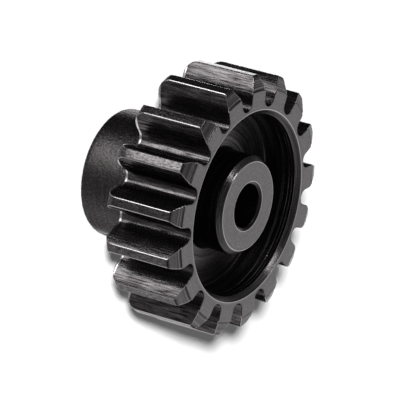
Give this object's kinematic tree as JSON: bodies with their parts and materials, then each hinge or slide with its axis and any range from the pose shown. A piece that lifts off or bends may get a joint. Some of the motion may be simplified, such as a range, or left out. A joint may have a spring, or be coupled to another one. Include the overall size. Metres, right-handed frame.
{
  "type": "pinion gear",
  "caption": "Blackened steel spur pinion: straight involute teeth, recessed front face with a centre boss, long round hub and a grub screw to hold it on a plain round shaft.",
  "frame": {"origin": "centre of the bore at the hub's end face, on which the pinion stands", "axes": "+Z along the bore from the hub's end to the recessed front face, +X through the middle of a tooth, +Y towards the grub screw"},
  "size_m": [0.0189, 0.019, 0.0114],
  "materials": {
    "blackened_steel": "black oxide over turned faces and hobbed teeth",
    "screw_steel": "black oxide, plain"
  },
  "bodies": {
    "root": {"gear_body": "blackened_steel", "set_screw": "screw_steel"}
  },
  "joints": []
}
